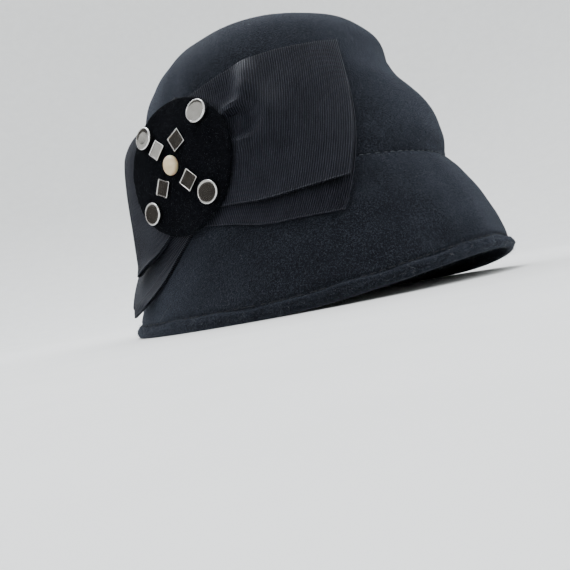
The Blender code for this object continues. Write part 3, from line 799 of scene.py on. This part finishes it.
def stitches(count, place, sink, length):
    """Short threads on the brim along a line round the hat."""
    draw = np.random.default_rng(21)
    steps = np.linspace(-1, 1, 7)
    for turn in circle(count):
        half = length / 2 / BRIM_SIDE * draw.uniform(0.75, 1.15)
        shift = draw.uniform(-0.4, 0.4) * half
        spots = turn + shift + half * steps
        out = outward(brim_surface, spots, place(spots))
        rise = (1 - steps ** 2) * THREAD * 1.6 - sink
        line = brim_surface(spots, place(spots)) + out * rise[:, None]
        yield strand(line, out, THREAD)


def fold_line():
    """A fine pressed line in the felt over the wearer's right side, near the edge."""
    steps = np.linspace(0, 1, 24)
    turns = radians(97.5) + radians(5.5) * steps ** 0.8
    rises = 0.0175 - 0.0090 * steps
    shares = share_at(turns, rises)
    out = outward(brim_surface, turns, shares)
    yield strand(brim_surface(turns, shares) + out * 0.00025, out, 0.00010)


def covered(points, normals):
    """Which points lie close under the bow or the patch."""
    trees = []
    for name in list(LOOPS) + ["patch"]:
        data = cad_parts[name].data
        trees.append(BVHTree.FromPolygons([vertex.co for vertex in data.vertices],
                                          [tuple(face.vertices) for face in data.polygons]))
    hidden = []
    for point, normal in zip(points, normals):
        hits = (tree.ray_cast(point, normal, COVER_REACH)[0] for tree in trees)
        hidden.append(any(hit is not None for hit in hits))
    return np.array(hidden)


def near_edge(centres):
    """More fibres near the brim's edge."""
    turns = np.arctan2(-centres[:, 0] / BRIM_SIDE, -centres[:, 1] / BRIM_FRONT)
    rise = centres[:, 2] - edge_height(turns)
    return np.clip(1 - rise / (HEM_LINE * 1.3), 0, 1)


def hem_place(turns):
    """The hem's stitch line, as shares of the way down the brim."""
    return share_at(turns, HEM_LINE)


def seam_place(turns):
    """The stitch line at the seam, as shares of the way down the brim."""
    return share_at(turns, seam_height(turns) - edge_height(turns) - THREAD)


def face_values(piece, key):
    """One kind of value of all faces of a piece, a row for each."""
    faces = piece.data.polygons
    values = np.zeros(len(faces) * (1 if key == "area" else 3), np.float32)
    faces.foreach_get(key, values)
    return values.reshape(len(faces), -1).astype(float)


def make_fibres(name, base, paint, slot, count, length, radius, stand, seed, chosen=None):
    """Fine fibres that lie on a felt piece and stand off it a little, joined in one mesh."""
    areas, centres, normals = (face_values(base, key) for key in ("area", "center", "normal"))
    weights = areas[:, 0] * (chosen(centres) if chosen else 1.0)
    draw = np.random.default_rng(seed)
    picks = draw.choice(len(weights), count, p=weights / weights.sum())
    root, out = centres[picks], normals[picks]
    side = unit(np.cross(out, draw.normal(size=(count, 3))))
    root = root + side * draw.uniform(-0.0006, 0.0006, (count, 1))
    if slot == "felt":
        clear = ~covered(root, out)
        root, out, side = root[clear], out[clear], side[clear]
        count = len(root)
    long = length * draw.uniform(0.5, 1.4, (count, 1))
    lift = stand * draw.uniform(0.1, 1.0, (count, 1)) ** 2
    bend = unit(np.cross(out, side)) * draw.uniform(-0.7, 0.7, (count, 1))
    middle = root + (side + bend * 0.3) * long * 0.5 + out * lift * long * 0.7
    tip = root + (side + bend) * long + out * lift * long * draw.uniform(0.2, 1.2, (count, 1))
    foot = root - out * radius * 2
    across = np.cross(side, out) * 0.87
    corners = [out, across - out * 0.5, -across - out * 0.5]
    verts = np.stack([foot + corner * radius for corner in corners]
                     + [middle + corner * radius * 0.8 for corner in corners] + [tip], axis=1)
    verts = verts[verts[..., 2].min(axis=1) > 0]
    count = len(verts)
    faces = []
    for start in range(0, count * 7, 7):
        a, b, c, d, e, f, g = range(start, start + 7)
        faces += [(a, b, e, d), (b, c, f, e), (c, a, d, f), (d, e, g), (e, f, g), (f, d, g),
                  (c, b, a)]
    mesh_piece(name, verts, faces, paint)


def shader_socket(paint, name):
    return paint.node_tree.nodes["Principled BSDF"].inputs[name.replace("_", " ")]


def new_paint(name, **values):
    """A material; values are set on its shader's own sockets."""
    paint = bpy.data.materials.new(name)
    paint.use_nodes = True
    for socket, value in values.items():
        shader_socket(paint, socket).default_value = value
    return paint


def link_shader(paint, **results):
    """Results of nodes, linked to the shader's sockets."""
    for socket, result in results.items():
        paint.node_tree.links.new(result, shader_socket(paint, socket))
    return paint


def add_node(paint, kind, inputs=(), **settings):
    """A node with settings, its inputs linked or set by name or number."""
    node = paint.node_tree.nodes.new(kind)
    for setting, value in settings.items():
        setattr(node, setting, value)
    for socket, value in dict(inputs).items():
        if isinstance(value, bpy.types.NodeSocket):
            paint.node_tree.links.new(value, node.inputs[socket])
        else:
            node.inputs[socket].default_value = value
    return node


def compute(paint, operation, *values):
    """The result of a Math node."""
    return add_node(paint, "ShaderNodeMath", enumerate(values), operation=operation).outputs[0]


def mix(paint, share, first, second, **settings):
    """Two colours mixed."""
    return add_node(paint, "ShaderNodeMix", {0: share, 6: first, 7: second}, data_type="RGBA",
                    **settings).outputs[2]


def object_place(paint):
    return add_node(paint, "ShaderNodeTexCoord").outputs["Object"]


def cloth_place(paint):
    """The place on the cloth, whole and in its two parts."""
    flat = add_node(paint, "ShaderNodeUVMap", uv_map="cloth").outputs[0]
    parts = add_node(paint, "ShaderNodeSeparateXYZ", {0: flat}).outputs
    return flat, parts[0], parts[1]


def noise(paint, vector, scale, detail=4.0, roughness=0.6):
    return add_node(paint, "ShaderNodeTexNoise", {
        "Vector": vector, "Scale": scale, "Detail": detail, "Roughness": roughness}).outputs[0]


def ramp(paint, factor, stops):
    """Colours at places along a factor."""
    node = add_node(paint, "ShaderNodeValToRGB", {0: factor})
    elements = node.color_ramp.elements
    while len(elements) < len(stops):
        elements.new(0.5)
    for element, (place, color) in zip(elements, stops):
        element.position = place
        element.color = (*color, 1.0)
    return node.outputs[0]


def bumps(paint, layers):
    """A normal from several layers: height, strength, depth in metres."""
    normal = None
    for height, strength, depth in layers:
        inputs = {"Height": height, "Strength": strength, "Distance": depth}
        if normal is not None:
            inputs["Normal"] = normal
        normal = add_node(paint, "ShaderNodeBump", inputs).outputs[0]
    return normal


def felt_paint(name, dark, plain, light, sheen, shine):
    """Pressed wool: short fibres in every direction, lighter ones among dark ones."""
    paint = new_paint(
        name, Roughness=0.94, Sheen_Weight=sheen, Sheen_Roughness=0.42,
        Sheen_Tint=(0.54, 0.63, 0.85, 1.0), Specular_IOR_Level=shine)
    place = object_place(paint)
    fine = noise(paint, place, 1900.0, 3.0, 0.75)
    fibres = noise(paint, place, 980.0, 4.0, 0.8)
    cloudy = noise(paint, place, 38.0, 3.0, 0.5)
    tufts = compute(paint, "MULTIPLY", compute(paint, "ADD", fibres, fine), 0.46)
    mixed = compute(paint, "ADD", tufts, compute(paint, "MULTIPLY", cloudy, 0.08))
    color = ramp(paint, mixed, ((0.43, dark), (0.51, plain), (0.60, light)))
    normal = bumps(paint, ((cloudy, 0.15, 0.0008), (fibres, 0.9, 0.0008), (fine, 0.6, 0.0004)))
    return link_shader(paint, Base_Color=color, Normal=normal)


def ribbon_paint():
    """Ribbed ribbon: a rib runs from edge to edge, each wrapped in fine threads. Its colour holds
    painted shade, darker in the grooves between the ribs and in hollows and gaps, and pale flecks
    kept to the rib crests that are partly a painted highlight.
    """
    paint = new_paint(
        "ribbed_ribbon", Roughness=0.50, Sheen_Weight=0.05, Sheen_Roughness=0.35,
        Sheen_Tint=(0.55, 0.62, 0.88, 1.0), Specular_IOR_Level=0.15,
        Specular_Tint=(0.80, 0.85, 1.0, 1.0))
    flat, along, across = cloth_place(paint)
    wave = compute(paint, "COSINE", compute(paint, "MULTIPLY", along, 2 * pi / RIB_PITCH))
    rib = compute(paint, "MULTIPLY_ADD", wave, -0.5, 0.5)
    threads = add_node(paint, "ShaderNodeMapping", {0: flat, "Scale": (700.0, 3200.0, 1.0)})
    weave = noise(paint, threads.outputs[0], 1.0, 2.0, 0.7)
    cloudy = noise(paint, flat, 90.0, 4.0, 0.65)
    speck = noise(paint, flat, 1500.0, 2.0, 0.6)
    worn = compute(paint, "MULTIPLY", compute(paint, "ADD", weave, cloudy), 0.5)
    # painted shade: the colour is darker in the grooves between the ribs and lighter on their
    # crests, mixed with the weave and a random tone
    shade = compute(paint, "MULTIPLY", compute(paint, "POWER", rib, 0.6), worn)
    color = ramp(paint, shade, ((0.08, (0.0007, 0.0008, 0.0013)), (0.25, (0.0026, 0.0028, 0.0044)),
                                (0.52, (0.0190, 0.0198, 0.0262))))
    edge = compute(paint, "GREATER_THAN", compute(paint, "ABSOLUTE", across),
                   RIBBON_WIDTH / 2 - SELVEDGE / 2)
    speck = compute(paint, "ADD", speck, compute(paint, "MULTIPLY", edge, 0.24))
    # pale flecks are light fibres, kept to the rib crests as a painted highlight, with more of them
    # along the selvedges
    pale = compute(paint, "GREATER_THAN", speck, 0.66)
    specked = mix(paint, compute(paint, "MULTIPLY", pale, rib), color, (0.040, 0.041, 0.047, 1.0))
    # painted shade: the colour is darkened where the ribbon is closed in, in the hollow of the
    # gather, under the loops' edges and in the gaps between the loops
    open_sky = add_node(paint, "ShaderNodeAmbientOcclusion", {"Distance": 0.008}, samples=12)
    hollow = ramp(paint, open_sky.outputs[1], ((0.40, (0.05,) * 3), (0.75, (1.0,) * 3)))
    shaded = mix(paint, 1.0, specked, hollow, blend_type="MULTIPLY")
    normal = bumps(paint, ((rib, 1.0, 0.0004), (weave, 0.6, 0.0003)))
    return link_shader(paint, Base_Color=shaded, Normal=normal)


def metal_paint():
    """Polished metal with fine wear; the studs' rims are painted brighter, a painted highlight."""
    paint = new_paint("polished_metal", Metallic=1.0)
    place = object_place(paint)
    worn = noise(paint, place, 420.0, 5.0, 0.65)
    soft = noise(paint, place, 130.0, 3.0, 0.5)
    _, wide, high = cloth_place(paint)
    face = ramp(paint, soft, ((0.3, (0.29, 0.275, 0.255)), (0.7, (0.40, 0.385, 0.36))))
    # painted highlight: a lighter colour on the studs' rims
    rim = compute(paint, "MULTIPLY", compute(paint, "GREATER_THAN", wide, STUD_RIM_HIGHLIGHT[0]),
                  compute(paint, "GREATER_THAN", high, STUD_RIM_HIGHLIGHT[1]))
    color = mix(paint, rim, face, (0.62, 0.61, 0.59, 1.0))
    rough = ramp(paint, worn, ((0.35, (0.10,) * 3), (0.7, (0.20,) * 3)))
    normal = bumps(paint, ((soft, 0.10, 0.0004),))
    return link_shader(paint, Base_Color=color, Roughness=rough, Normal=normal)


def pearl_paint():
    """Cream pearl with a soft lustre."""
    paint = new_paint(
        "pearl_lustre", Roughness=0.28, Coat_Weight=0.4, Coat_Roughness=0.12,
        Subsurface_Weight=0.25, Subsurface_Scale=0.003)
    place = object_place(paint)
    cloudy = noise(paint, place, 240.0, 3.0, 0.5)
    color = ramp(paint, cloudy, ((0.3, (0.48, 0.36, 0.19)), (0.7, (0.66, 0.54, 0.34))))
    return link_shader(paint, Base_Color=color)


def thread_paint(name, dark, light):
    """Fine strands, some lighter than others."""
    paint = new_paint(name, Roughness=0.9, Sheen_Weight=0.06)
    place = object_place(paint)
    varied = noise(paint, place, 90.0, 4.0, 0.7)
    color = ramp(paint, varied, ((0.4, dark), (0.65, light)))
    return link_shader(paint, Base_Color=color)


def make_stage():
    """A pale floor that curves up all round into a pale wall."""
    flat, bend, top = 0.9, 1.7, 2.9
    outline = [(0.0, 0.0), (0.3, 0.0), (0.6, 0.0), (flat, 0.0)]
    outline += [(flat + bend * sin(turn), bend * (1 - cos(turn)))
                for turn in np.linspace(0, pi / 2, 25)[1:]]
    outline.append((flat + bend, top))
    sides = 96
    angles = circle(sides)
    points = [stack(wide * np.cos(angles), wide * np.sin(angles), high)
              for wide, high in outline[1:]]
    verts = np.vstack((np.zeros((1, 3)), *points))
    faces = [face[::-1] for face in grid_faces(len(points), sides, wrap_columns=True, start=1)]
    faces += [(0, 1 + i, 1 + (i + 1) % sides) for i in range(sides)]
    paint = new_paint("pale_floor", Roughness=0.9)
    place = object_place(paint)
    grain = noise(paint, place, 30.0, 4.0, 0.6)
    color = ramp(paint, grain, ((0.3, (0.89, 0.89, 0.875)), (0.7, (0.93, 0.93, 0.915))))
    floor = add_mesh("floor", verts, faces, link_shader(paint, Base_Color=color))


def camera_axes():
    """The camera's right, up and back directions."""
    level = Vector((sin(CAMERA_AZIMUTH), -cos(CAMERA_AZIMUTH), 0))
    back = level * cos(CAMERA_ELEVATION) + Vector((0, 0, sin(CAMERA_ELEVATION)))
    right = Vector((cos(CAMERA_AZIMUTH), sin(CAMERA_AZIMUTH), 0))
    up = back.cross(right)
    rolled = right * cos(CAMERA_ROLL) + up * sin(CAMERA_ROLL)
    return rolled, back.cross(rolled), back


def make_camera():
    right = Vector((cos(CAMERA_AZIMUTH), sin(CAMERA_AZIMUTH), 0))
    raised = Matrix.Rotation(-CAMERA_RAISE, 4, right)
    axes = Matrix(camera_axes()).transposed().to_4x4()
    data = bpy.data.cameras.new("camera")
    data.sensor_width = 36.0
    data.lens = CAMERA_FOCUS * data.sensor_width
    data.clip_start = 0.01
    camera = add_object("camera", data)
    place = HAT_MIDDLE + raised @ (CAMERA_PLACE - HAT_MIDDLE)
    camera.matrix_world = Matrix.Translation(place) @ raised @ axes
    bpy.context.scene.camera = camera


def make_light(name, left, up, toward, size, power, color):
    """A soft square light, placed from the hat's middle along the camera's directions."""
    right, _, back = camera_axes()
    place = HAT_MIDDLE - right * left + Vector((0, 0, 1)) * up + back * toward
    data = bpy.data.lights.new(name, "AREA")
    data.size = size
    data.energy = power
    data.color = color
    light = add_object(name, data)
    light.matrix_world = (Matrix.Translation(place)
                          @ (place - HAT_MIDDLE).to_track_quat("Z", "Y").to_matrix().to_4x4())


def make_lights():
    world = bpy.data.worlds.new("studio")
    world.use_nodes = True
    background = world.node_tree.nodes["Background"]
    background.inputs["Color"].default_value = (0.88, 0.91, 0.95, 1.0)
    background.inputs["Strength"].default_value = 1.5
    bpy.context.scene.world = world
    make_light("window", 0.40, 1.10, -0.90, 0.8, 13.5, (0.90, 0.95, 1.0))
    make_light("overhead", 0.10, 1.50, -0.05, 0.8, 15.5, (0.95, 0.97, 1.0))
    make_light("front", 0.45, 0.42, 1.10, 0.4, 3.0, (0.97, 0.98, 1.0))
    make_flag()


def make_flag():
    """A dark panel beside the hat, low down, that shows in the studs alone."""
    half, low, high = 1.15, 0.02, 0.62
    paint = new_paint("dark_panel", Roughness=0.9, Base_Color=(0.045, 0.040, 0.036, 1.0))
    corners = [(-half, 0, low), (half, 0, low), (half, 0, high), (-half, 0, high)]
    flag = add_mesh("flag", corners, [(0, 1, 2, 3)], paint)
    flag.matrix_world = Matrix.Translation((-0.75, 0.75, 0)) @ Matrix.Rotation(radians(48), 4, "Z")
    flag.visible_camera = False
    flag.visible_diffuse = False
    flag.visible_shadow = False


PATCH_FRAME = patch_frame()

felt = felt_paint("pressed_felt", (0.0014, 0.0018, 0.0030), (0.0045, 0.0054, 0.0082),
                  (0.0272, 0.0308, 0.0386), 0.126, 0.10)
patch_felt = felt_paint("patch_wool", (0.0005, 0.0006, 0.0010), (0.0014, 0.0016, 0.0024),
                        (0.0075, 0.0085, 0.0110), 0.010, 0.03)
ribbon = ribbon_paint()
metal = metal_paint()
pearl_cream = pearl_paint()
thread = thread_paint("sewing_thread", (0.0022, 0.0028, 0.0045), (0.0070, 0.0085, 0.0130))
wool = thread_paint("loose_wool", (0.012, 0.014, 0.020), (0.070, 0.079, 0.092))
pressed = thread_paint("pressed_line", (0.032, 0.037, 0.046), (0.075, 0.083, 0.096))
pale_lint = thread_paint("lint", (0.16, 0.17, 0.18), (0.34, 0.35, 0.36))

crown = make_crown(felt)
brim = make_brim(felt)
for loop_name in LOOPS:
    make_loop(loop_name, ribbon)
patch = make_patch(patch_felt)
make_fibres("crown_fibres", crown, wool, "felt", 16000, 0.0016, FIBRE, 0.45, 31)
make_fibres("brim_fibres", brim, wool, "felt", 18000, 0.0016, FIBRE, 0.45, 32)
make_fibres("hem_fibres", brim, wool, "felt", 3500, 0.0026, FIBRE, 1.0, 33, near_edge)
make_fibres("patch_fibres", patch, wool, "patch_felt", 3500, 0.0012, 0.000022, 0.5, 34)
make_fibres("hem_wisps", brim, pale_lint, "felt", 240, 0.0036, 0.000026, 0.9, 37, near_edge)
make_fibres("lint", brim, pale_lint, "felt", 70, 0.0019, LINT, 0.2, 35)
make_fibres("crown_lint", crown, pale_lint, "felt", 60, 0.0019, LINT, 0.2, 36)
make_strands("hem_stitches", stitches(HEM_STITCHES, hem_place, HEM_GROOVE * 0.7, 0.0034), thread)
make_strands("seam_stitches", stitches(SEAM_STITCHES, seam_place, 0.0, 0.0032), pressed)
make_strands("fold_line", fold_line(), pressed)
ring_out = PATCH_RADIUS - STUD_INSET
ring_in = (PEARL_RADIUS + ring_out - STUD_RADIUS) / 2
for kind, spots, reach, outline, ring, height in (
        ("round", ROUND_STUDS, ring_out, ROUND_OUTLINE, round_ring, STUD_HEIGHT),
        ("square", SQUARE_STUDS, ring_in, SQUARE_OUTLINE, square_ring, SQUARE_HEIGHT)):
    for number, (angle, share, twist, lean) in enumerate(spots, 1):
        make_stud(f"{kind}_metal_{number}", f"{kind}_stud_{number}", outline, ring, height,
                  seat(angle, reach * share, twist, lean), metal)
make_pearl(pearl_cream)

make_stage()
make_camera()
make_lights()
